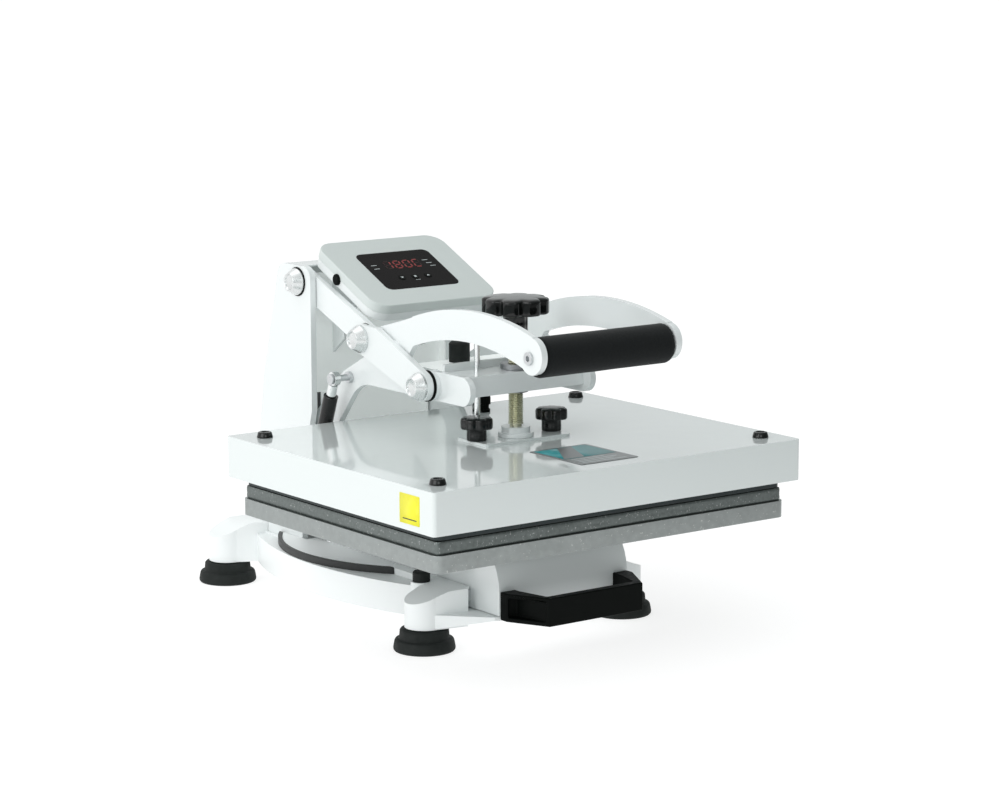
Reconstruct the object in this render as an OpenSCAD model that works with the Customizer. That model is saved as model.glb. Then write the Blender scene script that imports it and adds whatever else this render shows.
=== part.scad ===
// Clamshell heat press with a toggle handle, a screw-adjusted head and a pull-out lower table.
// Millimetres. X runs across the press, the operator stands at -Y, Z is up from the floor.
// Everything is drawn about the centre of the platens and at_home() moves it to the row frame.

/* [Platens] */
// Width of the heating plate and of the lower table
platen_w = 500; // [400:10:600]
// Depth of the lower table
platen_d = 400; // [380:5:420]
// Height of the table's underside above the floor
table_z = 135; // [134:1:140]
// Thickness of the aluminium table
table_t = 20; // [16:1:24]
// Thickness of the silicone pad
pad_t = 15; // [8:1:16]

/* [Head] */
// Width of the painted head cover
cover_w = 524; // [520:2:560]
// Depth of the painted head cover
cover_d = 425; // [421:2:450]
// Height of the cover's side walls
cover_h = 48.6; // [44:0.2:56]
// Height of the black heating plate that shows below the cover
plate_show = 9.4; // [6:0.2:14]
// Diameter of the pressure screw
spindle_d = 18; // [14:1:20]
// Diameter of the large star knob
knob_d = 80; // [60:2:84]

/* [Base] */
// Distance of the feet from the centre line
foot_x = 145; // [140:0.5:150]
// Front feet, measured from the platen centre
foot_front_y = -25; // [-30:1:-22]
// Rear feet, measured from the platen centre
foot_rear_y = 411; // [404:1:416]
// Diameter of a rubber foot
foot_d = 72; // [64:1:76]
// Height of a rubber foot
foot_h = 26; // [22:1:28]
// Height of the base shell's top face
shell_top_z = 63.5; // [60:0.5:66]

/* [Column and linkage] */
// Thickness of the side plates
side_t = 8; // [6:1:8]
// Height of the top edge of the column
column_top_z = 411; // [408:1:420]
// Diameter of the pivot caps
cap_d = 33; // [28:1:34]
// Radius of the link's and lever's round ends
eye_r = 17; // [15:1:18]
// Diameter of the foam grip
grip_d = 46; // [36:1:48]

/* [Control box] */
// Width of the control box
box_w = 182; // [160:1:182]
// Length of the control box along its sloping face
box_l = 150; // [140:1:152]
// Thickness of the control box
box_t = 22; // [18:1:24]
// Slope of the control box's face
box_tilt = 24.6; // [20:0.1:28]

/* [Drawer] */
// Width of the drawer body that carries the table
drawer_w = 186; // [170:1:188]
// Height of the drawer body's lower edge
drawer_z = 46; // [45:1:50]
// Height of the pull handle's bar
pull_h = 33; // [26:1:36]

/* [Hidden] */
$fn = 64;
eps = 0.01;
slack = 0.05;          // radial running clearance of the pivots
air = 0.3;             // gap between faces that slide past or rest on each other

// Heights of the stack of platens
pad_z = table_z + table_t;
press_z = pad_z + pad_t;                 // where pad and heating plate meet
cover_z = press_z + air + plate_show;    // lower edge of the cover
cover_top = cover_z + cover_h;

// The row frame's origin is under the middle of the footprint
front_y = -cover_d / 2;
rear_y = foot_rear_y + foot_d / 2;
home_y = -(front_y + rear_y) / 2;

// Side planes, as distances from the centre line
arm_x = 83;                              // inner face of the lifting arm
mid_x = 92;                              // inner face of links and handle arms
out_x = 101;                             // inner face of column and lever plates
cap_x = out_x + side_t;                  // where the pivot caps sit
cap_l = 13;
washer_t = 0.7;

// Pivots as [y, z]
shaft_p = [300, 180];                    // rear shaft, lifting arm on the column
link_p = [293, 391];                     // link on the column
knee_p = [155, 336.5];                   // link and lever meet here
lever_p = [32, 295.5];                   // lever on the lifting arm
grip_p = [-167, 352];                    // axis of the foam grip
stud_p = [205, 282.5];                   // gas spring on the lifting arm
anchor_p = [264, 127];                   // gas spring on the column
tip_p = [-26, 295];                      // front end of the lifting arm
shaft_d = 20;
pin_d = 12;
gas_x = 114;                             // plane of the gas springs
gas_d = 18;
gas_len = norm(stud_p - anchor_p);
gas_lean = atan2(anchor_p[0] - stud_p[0], stud_p[1] - anchor_p[1]);

// Pressure screw
screw_y = -7;
bar_z = [287, 311];                      // crossbar, lower and upper face
bracket_t = 3;
bracket_z = cover_top + bracket_t;
boss_top = bracket_z + 12;
knob_z = [354.5, 375.5, 396.5];                // hub, head and top of the large star knob
rod_at = [-39, 16];                      // guide rod that keeps the head from turning
rod_d = 7;
clamp_at = [54.5, -4.5];                   // small star knobs

// Base
wing_r = 450;                            // the base's bulging side wall
wing_cx = 290;
wing_cy = (foot_front_y + foot_rear_y) / 2;
wall = 3;
channel_x = 105;                         // half width of the drawer's channel
pod_r = 23;
shell_z = foot_h + 1.5;
deck_r = 198;                            // the raised round deck on each side
deck_c = [40, 212];
deck_top = shell_top_z + 8.5;
deck_inner_x = 94.5;                     // the deck's edge along the drawer
cheek_y = -56;                           // front of the base's wall beside the drawer
floor_z = [40, 45];
bumper_at = [125, 9];
drawer_x = drawer_w / 2;
rail_z = [46.5, 67.5];
drawer_front_y = -100;
pull_y = -161;
pull_z = 41.5;

// Control box, centre of its sloping face as [y, z]
box_at = [214, 405.5];
window_size = [107, 84];

// ---------- helpers ----------

module at_home() {
    translate([0, home_y, 0]) children();
}

module both_sides() {
    children();
    mirror([1, 0, 0]) children();
}

// Four copies at [+-x, y] for y in the list ys
module at_corners(x, ys) {
    for (y = ys)
        both_sides() translate([x, y, 0]) children();
}

// A flat outline drawn as [y, z], t thick in X, its inner face at x
module side_plate(x, t) {
    translate([x, 0, 0]) rotate([90, 0, 90]) linear_extrude(t) children();
}

// A round bar along X through p = [y, z]
module bar_x(p, d, x0, x1) {
    translate([x0, p[0], p[1]]) rotate([0, 90, 0]) cylinder(d = d, h = x1 - x0);
}

module dot(p, r) {
    translate(p) circle(r);
}

// Straight strip of half width r between the points p and q
module strip(p, q, r) {
    translate(p) rotate(atan2(q[1] - p[1], q[0] - p[0])) translate([0, -r])
        square([norm(q - p), 2 * r]);
}

module capsule(p, q, r) {
    dot(p, r);
    dot(q, r);
    strip(p, q, r - 0.02);
}

module rounded_rect(w, d, r) {
    square([w - 2 * r, d], center = true);
    square([w, d - 2 * r], center = true);
    for (x = [-1, 1], y = [-1, 1])
        dot([x * (w / 2 - r), y * (d / 2 - r)], r);
}

// Points on an arc about c, from angle a0 to a1
function arc(c, r, a0, a1, n = 8) =
    [for (i = [0:n]) c + r * [cos(a0 + (a1 - a0) * i / n), sin(a0 + (a1 - a0) * i / n)]];

module block(x0, x1, y0, y1, z0, z1) {
    translate([x0, y0, z0]) cube([x1 - x0, y1 - y0, z1 - z0]);
}

// ---------- base ----------

// Plan of the left half of the base shell, grown inwards by inset
module wing_plan(inset) {
    intersection() {
        translate([wing_cx, wing_cy]) circle(wing_r - inset, $fn = 128);
        translate([-200, foot_front_y - 18 + inset])
            square([200 - channel_x - inset, foot_rear_y - foot_front_y + 36 - 2 * inset]);
    }
}

// Cast pod over the foot at y; its top rises towards its inner end, which spans the two ys in far
module pod(y, far, rise) {
    intersection() {
        translate([0, 0, shell_z]) linear_extrude(100) {
            dot([-foot_x, y], pod_r);
            polygon([[-foot_x, y - pod_r], [-channel_x, far[0]], [-channel_x, far[1]],
                [-foot_x, y + pod_r]]);
        }
        translate([0, 500, 0]) rotate([90, 0, 0]) linear_extrude(1000)
            polygon([[-foot_x - pod_r - 1, 0], [-foot_x - pod_r - 1, 57 + rise / 3],
                [-foot_x - 4, 64 + rise / 2], [-foot_x + 16, 71 + rise], [-channel_x, deck_top + rise],
                [-channel_x, 0]]);
    }
}

// Plan of the round deck, from its inner edge out to the trim
module deck_plan(inset, inner_x) {
    intersection() {
        translate(deck_c) circle(deck_r - inset, $fn = 128);
        translate([-200, 0]) square([200 - inner_x, 400]);
    }
}

// Foot of the column on the deck, left free for the side plates
module column_seat() {
    block(-cap_x - 0.5, -deck_inner_x + 1, 281, 400, 66, 120);
}

// Sloping apron from the front pod to the drawer's corner
module apron() {
    hull() {
        block(-150, -135, foot_front_y - pod_r + 4, foot_front_y, shell_z, floor_z[1]);
        block(-98, -94, -98, -94, floor_z[0] + 1, floor_z[1]);
        block(-channel_x, -94, cheek_y - 2, cheek_y, floor_z[0] - 4, floor_z[1]);
    }
}

module base_side() {
    difference() {
        union() {
            translate([0, 0, shell_z]) linear_extrude(shell_top_z - shell_z) wing_plan(0);
            pod(foot_front_y, [cheek_y, 6], 0);
            pod(foot_rear_y, [368, 425], 6);
            // deck with a cover strip over the drawer's rails
            translate([0, 0, shell_top_z - 1]) linear_extrude(deck_top - shell_top_z)
                deck_plan(5.5, channel_x);
            translate([0, 0, deck_top - 4]) linear_extrude(3) deck_plan(5.5, deck_inner_x);
            block(-channel_x - 6, -deck_inner_x, -44, 281, deck_top - 4, deck_top - 1);
            block(-channel_x - 6, -channel_x, -44, 281, shell_top_z - 5, deck_top - 1);
            translate([-bumper_at[0], bumper_at[1], shell_top_z - 1]) cylinder(d = 25, h = 9);
            apron();
        }
        block(-channel_x, 0, cheek_y, 281, 0, deck_top - 4);
        // hollow below the top sheet, between the two pods
        translate([0, 0, shell_z - eps]) linear_extrude(shell_top_z - shell_z - wall) intersection() {
            wing_plan(wall);
            translate([-200, 0]) square([200, foot_rear_y - 28]);
        }
        for (y = [foot_front_y, foot_rear_y])
            translate([-foot_x, y, 0]) cylinder(d = 8.5, h = 60);
        column_seat();
    }
}

module base_shell() {
    color("white") at_home() {
        both_sides() base_side();
        // rear bridge that carries the column
        difference() {
            block(-channel_x - wall, channel_x + wall, 296, 425, shell_z, 66);
            block(-channel_x + 6, channel_x - 6, 250, 419, shell_z - 1, 61);
        }
        both_sides() block(-112, -channel_x, 282, 396, shell_z, 66);
    }
}

module deck_edge_trims() {
    color("black") at_home() both_sides()
        translate([0, 0, shell_top_z + eps]) linear_extrude(deck_top - shell_top_z) difference() {
            deck_plan(0, channel_x + 6.5);
            deck_plan(5, 0);
        }
}

module base_floor() {
    color("white") at_home() {
        block(-channel_x + eps, channel_x - eps, cheek_y, 296 - eps, floor_z[0], floor_z[1]);
        block(-94 + eps, 94 - eps, -98, cheek_y + 1, floor_z[0], floor_z[1]);
    }
}

module rubber_feet() {
    color("black") at_home() at_corners(foot_x, [foot_front_y, foot_rear_y]) difference() {
        union() {
            cylinder(d1 = foot_d, d2 = foot_d - 4, h = 14);
            translate([0, 0, 14 - eps]) cylinder(d = foot_d - 14, h = foot_h - 14);
            translate([0, 0, foot_h - 2 * eps]) cylinder(d = 44, h = 1.5);
        }
        translate([0, 0, -1]) cylinder(d = 16, h = 7);
        cylinder(d = 8.5, h = 40);
    }
}

module foot_bolts() {
    color("silver") at_home() at_corners(foot_x, [foot_front_y, foot_rear_y]) {
        translate([0, 0, 2]) cylinder(d = 13, h = 4);
        translate([0, 0, 5]) cylinder(d = 8, h = 54);
    }
}

module corner_bumpers() {
    color("black") at_home() at_corners(bumper_at[0], [bumper_at[1]]) {
        translate([0, 0, deck_top - 0.5 + eps]) cylinder(d = 20.5, h = 10.5);
        translate([0, 0, deck_top + 10]) cylinder(d1 = 20.5, d2 = 17, h = 2);
    }
}

// ---------- column ----------

module column_outline() {
    polygon(concat(
        [[290, 66 + eps], [392, 66 + eps], [386, 195], [375, 263]],
        arc([323, column_top_z - 16], 16, 10, 90),
        arc([280, column_top_z - 16], 16, 90, 180),
        [[264, 366], [264, 235], [288, 150]]));
    // lug for the gas spring's lower stud
    capsule(anchor_p, [300, 112], 12);
}

module column_plates() {
    color("white") at_home() both_sides() difference() {
        side_plate(out_x, side_t) column_outline();
        for (p = [shaft_p, link_p])
            bar_x(p, p == shaft_p ? shaft_d : pin_d, out_x - 1, cap_x + 1);
        bar_x(anchor_p, 8, out_x - 1, cap_x + 1);
    }
}

module column_front_panel() {
    color("gainsboro") at_home() {
        block(-out_x + eps, out_x - eps, 288, 291, 252, 352);
        block(-86, 86, 288, 291, 351, 400);
        block(-80, 80, 286.5, 289.5, 110, 253);
        // return flanges that bolt to the side plates
        both_sides() block(-out_x + eps, -out_x + 2.5, 276, 288.5, 252, 342);
    }
}

// Back and top of the column, one folded sheet
module back_profile() {
    polygon([[383, 66 + eps], [377, 195], [366, 262], [331, 392], [323, 411], [286, 411],
        [286, 408.6], [321.5, 408.6], [328.5, 391], [363, 261], [374, 194.5], [380, 66 + eps]]);
}

module column_back_cover() {
    color("white") at_home() difference() {
        side_plate(-out_x + eps, 2 * out_x - 2 * eps) back_profile();
        translate([-30, 360, 92]) cube([60, 40, 52]);
    }
}

module pivot_shaft() {
    color("silver") at_home() {
        bar_x(shaft_p, shaft_d - eps, -cap_x, cap_x);
        both_sides() bar_x(shaft_p, 30, cap_x, cap_x + 5);
    }
}

module pivot_cap(p) {
    difference() {
        translate([cap_x + eps, p[0], p[1]]) rotate([0, 90, 0]) union() {
            cylinder(d = cap_d, h = 3.5);
            translate([0, 0, 3.5]) cylinder(d1 = cap_d - 2, d2 = 21, h = cap_l - 3.5);
        }
        translate([cap_x + cap_l + 7, p[0], p[1]]) sphere(d = 20);
    }
}

module link_pins() {
    color("silver") at_home() both_sides() {
        pivot_cap(link_p);
        bar_x(link_p, pin_d, mid_x - 2, cap_x);
        bar_x(link_p, 20, mid_x - 5, mid_x - 1);
        bar_x(link_p, 20, mid_x + side_t + 0.2, out_x);
    }
}

module gas_anchors() {
    color("silver") at_home() both_sides() {
        bar_x(anchor_p, 8, out_x, 119.5);
        bar_x(anchor_p, 13, 118.4, 121);
    }
}

module power_entry() {
    color("black") at_home() difference() {
        union() {
            translate([-29, 372, 93]) cube([58, 12, 50]);
            translate([-32, 382, 90]) cube([64, 3, 56]);
        }
        // inlet socket and rocker opening
        translate([-22, 376, 100]) cube([27, 20, 22]);
        translate([10, 374, 100]) cube([14, 20, 24]);
    }
}

module switch_rocker() {
    color("red") at_home() translate([17, 383, 112]) {
        rotate([7, 0, 0]) translate([-6.6, -4, -10]) cube([13.2, 7, 20]);
        translate([-6.6, -4, 0]) rotate([0, 90, 0]) cylinder(d = 9, h = 13.2);
    }
}

module relay_block() {
    color("dimgray") at_home() {
        translate([40, 350, 120]) cube([45, 20, 50]);
        translate([-88, 350, 195]) cube([60, 12, 40]);
        block(-95, 95, 348, 350, 115, 250);
    }
}

module drawer_rails() {
    color("silver") at_home() both_sides() difference() {
        block(97.5, channel_x - eps, -44, 280, rail_z[0], rail_z[1]);
        block(97, 103, -45, 281, rail_z[0] + 3, rail_z[1] - 3);
    }
}

// ---------- control box ----------

module in_box_frame() {
    at_home() translate([0, box_at[0], box_at[1]]) rotate([box_tilt, 0, 0]) children();
}

module box_bracket() {
    color("white") at_home() both_sides() side_plate(58, 4) difference() {
        polygon([[288, 300], [288, 395], [283, 402], [275.9, 409.5], [227.7, 387.5], [236, 362],
            [262, 345], [262, 320]]);
        dot([274, 340], 3);
    }
}

module box_front_shell() {
    color("lightgray") in_box_frame() difference() {
        translate([0, 0, -12]) linear_extrude(12) rounded_rect(box_w, box_l, 22);
        translate([0, 0, -12 - eps]) linear_extrude(9.5) rounded_rect(box_w - 5, box_l - 5, 19.5);
        translate([0, 0, -1.5]) linear_extrude(3) rounded_rect(window_size[0], window_size[1], 9);
        for (i = [-1:1])
            translate([i * 19, -18, -20]) cylinder(d = 11, h = 40);
        both_sides() translate([box_w / 2 - 8, 13, -14]) rotate([0, 90, 0]) cylinder(d = 18.4, h = 20);
    }
}

module box_back_shell() {
    color("whitesmoke") in_box_frame() difference() {
        union() {
            translate([0, 0, -box_t]) linear_extrude(box_t - 12 - eps)
                rounded_rect(box_w - 1, box_l - 1, 22);
            // bosses on both ends for the side plugs
            both_sides() translate([box_w / 2 - 7.5, 13, -14]) rotate([0, 90, 0])
                cylinder(d = 18, h = 7);
        }
        translate([0, 0, -box_t + 2.5]) linear_extrude(box_t) rounded_rect(box_w - 6, box_l - 6, 19);
    }
}

module display_window() {
    color("black") in_box_frame() difference() {
        translate([0, 0, -1.5 + eps]) linear_extrude(1.9)
            rounded_rect(window_size[0] - 0.4, window_size[1] - 0.4, 9);
        for (i = [-1:1])
            translate([i * 19, -18, -4]) cylinder(d = 9.6, h = 10);
    }
}

module circuit_board() {
    color("green") in_box_frame() {
        translate([0, 0, -9.5]) linear_extrude(1.6) rounded_rect(130, 100, 3);
        translate([-28, 4, -7.9 - eps]) cube([56, 17, 4.5]);
        for (i = [-1:1])
            translate([i * 19 - 3, -21, -7.9 - eps]) cube([6, 6, 2.1]);
    }
}

module box_side_plugs() {
    color("black") in_box_frame() both_sides() translate([box_w / 2 - 0.5 + eps, 13, -14])
        rotate([0, 90, 0]) {
            cylinder(d = 14, h = 2.4);
            translate([0, 0, 2.4]) cylinder(d1 = 14, d2 = 11, h = 1.2);
        }
}

module box_button(i) {
    color("dimgray") in_box_frame() translate([i * 19, -18, -3.6]) {
        cylinder(d = 9, h = 4.6);
        translate([0, 0, -0.9]) cylinder(d = 10.4, h = 1);
    }
}

// ---------- lifting arm ----------

module arm_outline() {
    polygon(concat(
        [[tip_p[0], 312], [172, 312], [220, 288], [318, 196], shaft_p, [282, 164]],
        arc([163, 228], 50, 41, 90),
        [[tip_p[0], 278]]));
    dot(tip_p, 17);
    dot(shaft_p, 25);
}

module arm_plates() {
    color("white") at_home() both_sides() difference() {
        union() {
            side_plate(arm_x, side_t) arm_outline();
            bar_x(lever_p, 2 * eye_r + 1, arm_x + 1, 97.4);
        }
        bar_x(shaft_p, 26, arm_x - 1, mid_x + 20);
        bar_x(lever_p, pin_d + 2 * slack, arm_x - 1, mid_x + 20);
        bar_x(stud_p, 8, arm_x - 1, mid_x + 20);
    }
}

module arm_bushes() {
    color("goldenrod") at_home() both_sides() difference() {
        union() {
            bar_x(shaft_p, 26 - eps, arm_x, arm_x + side_t);
            bar_x(shaft_p, 34, arm_x + side_t, out_x - 0.4);
        }
        bar_x(shaft_p, shaft_d + 2 * slack, arm_x - 1, out_x + 1);
    }
}

module crossbar() {
    color("white") at_home() difference() {
        union() {
            block(-arm_x + eps, arm_x - eps, -29, 24, bar_z[0], bar_z[1]);
            block(-arm_x + eps, arm_x - eps, 19, 24, bar_z[1] - 1, 320);
        }
        translate([0, screw_y, 0]) cylinder(d = 30, h = 400);
        translate([rod_at[0], rod_at[1], 0]) cylinder(d = rod_d + 2 * slack, h = 400);
    }
}

module arm_top_plate() {
    color("lightgray") at_home() difference() {
        block(-arm_x + eps, arm_x - eps, 24 + eps, 95, 305, 311);
        translate([-22, 75, 300]) cylinder(d = 8, h = 20);
    }
}

module arm_bumper() {
    color("black") at_home() translate([-22, 75, 0]) {
        translate([0, 0, 303]) cylinder(d = 7.9, h = 9);
        translate([0, 0, 311 + eps]) cylinder(d = 25, h = 22);
        translate([0, 0, 333]) cylinder(d1 = 25, d2 = 20, h = 2.5);
    }
}

module spindle_nut() {
    color("slategray") at_home() translate([0, screw_y, 0]) difference() {
        union() {
            translate([0, 0, bar_z[0] - 3]) cylinder(d = 29.98, h = bar_z[1] - bar_z[0] + 3);
            translate([0, 0, bar_z[1] + eps]) cylinder(d = 36, h = 7);
        }
        cylinder(d = spindle_d + 2 * slack, h = 400);
    }
}

module gas_studs() {
    color("silver") at_home() both_sides() {
        bar_x(stud_p, 8, arm_x + 1, 119.5);
        bar_x(stud_p, 14, arm_x + side_t, arm_x + side_t + 5);
        bar_x(stud_p, 13, 118.4, 121);
    }
}

// ---------- links, lever and handle ----------

module links() {
    color("white") at_home() both_sides() difference() {
        side_plate(mid_x, side_t) capsule(link_p, knee_p, eye_r);
        bar_x(link_p, pin_d + 2 * slack, mid_x - 1, out_x);
    }
}

module lever_plates() {
    color("white") at_home() both_sides() difference() {
        side_plate(out_x + 0.4, side_t - 0.4) {
            capsule(knee_p, lever_p, eye_r + 0.5);
            polygon([knee_p, lever_p, lever_p + [-6, 16.5], [122, 353], knee_p + [-6, 17]]);
        }
        for (p = [knee_p, lever_p])
            bar_x(p, pin_d, out_x, cap_x + 1);
    }
}

// Arched band between two large circles, a round end at the grip and a root behind the lever
module handle_outline() {
    intersection() {
        difference() {
            dot([-61, 5.3], 387, $fn = 256);
            dot([-49.3, 15.1], 341, $fn = 256);
        }
        polygon([[-172, 300], [-172, 400], [60, 400], [60, 300]]);
    }
    polygon([[59, 372.5], [86, 364.5], [126, 354], [117, 331], [88, 318], [72, 322], [59, 338]]);
    dot(grip_p + [-2, 2.5], 21);
}

module handle_arms() {
    color("white") at_home() both_sides() difference() {
        side_plate(mid_x, side_t) handle_outline();
        bar_x(grip_p, 10, mid_x - 1, out_x);
    }
    // welded spacers between the handle arms and the lever plates
    color("white") at_home() both_sides() bar_x([92, 332], 18, mid_x + side_t - eps, out_x + 0.4);
}

module lever_caps() {
    color("silver") at_home() both_sides() {
        for (p = [knee_p, lever_p])
            pivot_cap(p);
        bar_x(knee_p, pin_d - eps, 100.3, cap_x + washer_t);
        bar_x(lever_p, pin_d - eps, arm_x - 3, cap_x + washer_t);
        bar_x(lever_p, 15, arm_x - 6, arm_x - 0.4);
    }
}

module lever_washers() {
    color("black") at_home() both_sides() {
        difference() {
            bar_x(lever_p, 2 * eye_r + 3, 97.8, out_x + 0.39);
            bar_x(lever_p, pin_d, 90, out_x + 1);
        }
        difference() {
            bar_x(knee_p, 2 * eye_r + 2, 100.3, out_x + 0.39);
            bar_x(knee_p, pin_d, 90, out_x + 1);
        }
    }
}

module grip_bar() {
    color("silver") at_home() difference() {
        bar_x(grip_p, 32, -mid_x + eps, mid_x - eps);
        bar_x(grip_p, 10, -100, 100);
    }
}

module grip_foam() {
    color("black") at_home() difference() {
        bar_x(grip_p, grip_d, -mid_x + 0.5, mid_x - 0.5);
        bar_x(grip_p, 32 + eps, -100, 100);
    }
}

module grip_bolts() {
    color("silver") at_home() both_sides() difference() {
        union() {
            bar_x(grip_p, 9.9, 60, mid_x + side_t);
            bar_x(grip_p, 15, mid_x + side_t, mid_x + side_t + 3);
        }
        bar_x(grip_p, 7, mid_x + side_t - 2, mid_x + side_t + 4, $fn = 6);
    }
}

// ---------- gas springs ----------

// Frame with its origin at the lower anchor and +Z towards the upper stud
module along_gas() {
    at_home() both_sides() translate([gas_x, anchor_p[0], anchor_p[1]]) rotate([gas_lean, 0, 0])
        children();
}

module gas_eye(z) {
    translate([-4, 0, z]) rotate([0, 90, 0]) cylinder(d = 17, h = 8);
}

module gas_bore(z, gap) {
    translate([-10, 0, z]) rotate([0, 90, 0]) cylinder(d = 8 + 2 * gap, h = 20);
}

module gas_cylinders() {
    color("black") along_gas() difference() {
        union() {
            gas_eye(0);
            translate([0, 0, 5]) cylinder(d = 7, h = 13);
            translate([0, 0, 16]) cylinder(d = gas_d, h = 127);
        }
        gas_bore(0, slack);
        translate([0, 0, 40]) cylinder(d = 8 + 2 * slack, h = 120);
    }
}

module gas_rods() {
    color("silver") along_gas() difference() {
        union() {
            gas_eye(gas_len);
            translate([0, 0, 60]) cylinder(d = 8, h = gas_len - 66.5);
            translate([0, 0, 144]) cylinder(d = 12, h = gas_len - 152);
        }
        gas_bore(gas_len, air);
    }
}

// ---------- head ----------

module cover_shell() {
    color("white") at_home() difference() {
        translate([0, 0, cover_z]) linear_extrude(cover_h) rounded_rect(cover_w, cover_d, 5);
        translate([0, 0, cover_z - eps]) linear_extrude(cover_h - 2.5)
            rounded_rect(cover_w - 5, cover_d - 5, 3);
        at_corners(cover_w / 2 - 31, [-cover_d / 2 + 36, cover_d / 2 - 36])
            cylinder(d = 7, h = 400);
        at_corners(clamp_at[0], [clamp_at[1]]) cylinder(d = 7, h = 400);
    }
}

module cover_screws() {
    color("black") at_home()
        at_corners(cover_w / 2 - 31, [-cover_d / 2 + 36, cover_d / 2 - 36]) {
            translate([0, 0, cover_top - 18]) cylinder(d = 6, h = 19);
            difference() {
                union() {
                    translate([0, 0, cover_top + eps]) cylinder(d = 19, h = 5.5);
                    translate([0, 0, cover_top + 5.5]) cylinder(d1 = 19, d2 = 16, h = 2);
                }
                translate([0, 0, cover_top + 4.5]) cylinder(d = 10, h = 10);
            }
        }
}

module heating_plate() {
    color("dimgray") at_home() difference() {
        translate([0, 0, press_z + air]) linear_extrude(24)
            rounded_rect(platen_w - 8, platen_d - 8, 8);
        // groove for the cast-in heating element
        translate([0, 0, press_z + air + 16]) linear_extrude(10) difference() {
            rounded_rect(platen_w - 90, platen_d - 90, 40);
            rounded_rect(platen_w - 108, platen_d - 108, 31);
        }
    }
}

module insulation() {
    color("wheat") at_home() translate([0, 0, press_z + air + 24 + eps]) linear_extrude(14)
        rounded_rect(platen_w - 16, platen_d - 16, 8);
}

module bracket_plate() {
    color("white") at_home() {
        difference() {
            translate([0, -3, cover_top + eps]) linear_extrude(bracket_t)
                rounded_rect(124, 60, 5);
            both_sides() translate([clamp_at[0], clamp_at[1], 0]) cylinder(d = 7, h = 400);
        }
        // spreader under the cover, between its top sheet and the insulation
        translate([-90, -80, cover_top - 2.5 - 12]) cube([180, 160, 12 - eps]);
    }
}

module screw_boss() {
    color("white") at_home() translate([0, screw_y, bracket_z + eps]) difference() {
        union() {
            cylinder(d = 42, h = 5);
            cylinder(d = 34, h = 12);
        }
        translate([0, 0, 1]) cylinder(d = 14.2, h = 20);
    }
}

module guide_rod() {
    color("silver") at_home() translate([rod_at[0], rod_at[1], bracket_z + eps])
        cylinder(d = rod_d, h = 362 - bracket_z);
}

module name_plate() {
    color("teal") at_home() translate([0, -136, cover_top + eps]) linear_extrude(0.8)
        rounded_rect(82, 98, 2);
}

// ---------- pressure screw and knobs ----------

module spindle() {
    color("darkkhaki") at_home() translate([0, screw_y, 0]) {
        translate([0, 0, bracket_z + 1.2]) cylinder(d = 14, h = 12);
        translate([0, 0, boss_top + 0.3]) cylinder(d = spindle_d, h = knob_z[0] - boss_top - 0.3);
        translate([0, 0, knob_z[0] - eps]) cylinder(d = 12, h = 26);
    }
}

// Knob head: a disc with scalloped lobes round its rim
module star_plan(d, lobes) {
    difference() {
        circle(d = d);
        for (i = [0:lobes - 1])
            rotate(i * 360 / lobes) translate([d * 0.585, 0]) circle(d = d * 0.26);
    }
}

module star_knob(d, lobes, hub_d, hub_h, head_h, bore_d, bore_h) {
    difference() {
        union() {
            cylinder(d = hub_d, h = hub_h + 1);
            intersection() {
                translate([0, 0, hub_h]) linear_extrude(head_h) star_plan(d, lobes);
                translate([0, 0, hub_h + head_h - d * 1.6]) sphere(d = d * 3.2);
            }
        }
        translate([0, 0, -1]) cylinder(d = bore_d, h = bore_h + 1);
    }
}

module pressure_knob() {
    color("black") at_home() translate([0, screw_y, knob_z[0]])
        star_knob(knob_d, 8, 29, knob_z[1] - knob_z[0], knob_z[2] - knob_z[1], 12, 26);
}

module clamp_knob(side) {
    color("black") at_home() translate([side * clamp_at[0], clamp_at[1], bracket_z + 0.2]) {
        star_knob(38, 7, 23.5, 13.3, 14.8, 6, 12);
        translate([0, 0, -5]) cylinder(d = 6, h = 16.9);
    }
}

// ---------- drawer ----------

module table() {
    color("silver") at_home() difference() {
        translate([0, 0, table_z]) linear_extrude(table_t) rounded_rect(platen_w, platen_d, 10);
        at_corners(70, [-20, 150]) translate([0, 0, table_z - 1]) cylinder(d = 8, h = 13);
    }
}

module silicone_pad() {
    color("gray") at_home() translate([0, 0, pad_z + eps]) linear_extrude(pad_t - 2 * eps)
        rounded_rect(platen_w - 5, platen_d - 5, 6);
}

// Side view of the drawer body with a large radius between its front and its top
module drawer_profile(inset) {
    r = 62;
    top = table_z - eps - inset;
    y0 = drawer_front_y + inset;
    low = drawer_z - (inset > 0 ? 1 : 0);
    polygon(concat([[190 - inset, top], [190 - inset, 84], [252, 84], [252, low], [y0, low]],
        arc([y0 + r - inset, top - r + inset], r - inset, 180, 90)));
}

module drawer_body() {
    color("white") at_home() {
        difference() {
            side_plate(-drawer_x, drawer_w) drawer_profile(0);
            side_plate(-drawer_x + wall, drawer_w - 2 * wall) drawer_profile(wall);
            at_corners(70, [-20, 150]) cylinder(d = 8.5, h = 200);
        }
    }
}

module drawer_runners() {
    color("silver") at_home() both_sides() {
        block(drawer_x + eps, 102.7, -44, 250, rail_z[0] + 3.3, rail_z[1] - 3.3);
        block(drawer_x + eps, 97.2, -44, 250, rail_z[0], rail_z[1]);
    }
}

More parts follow.
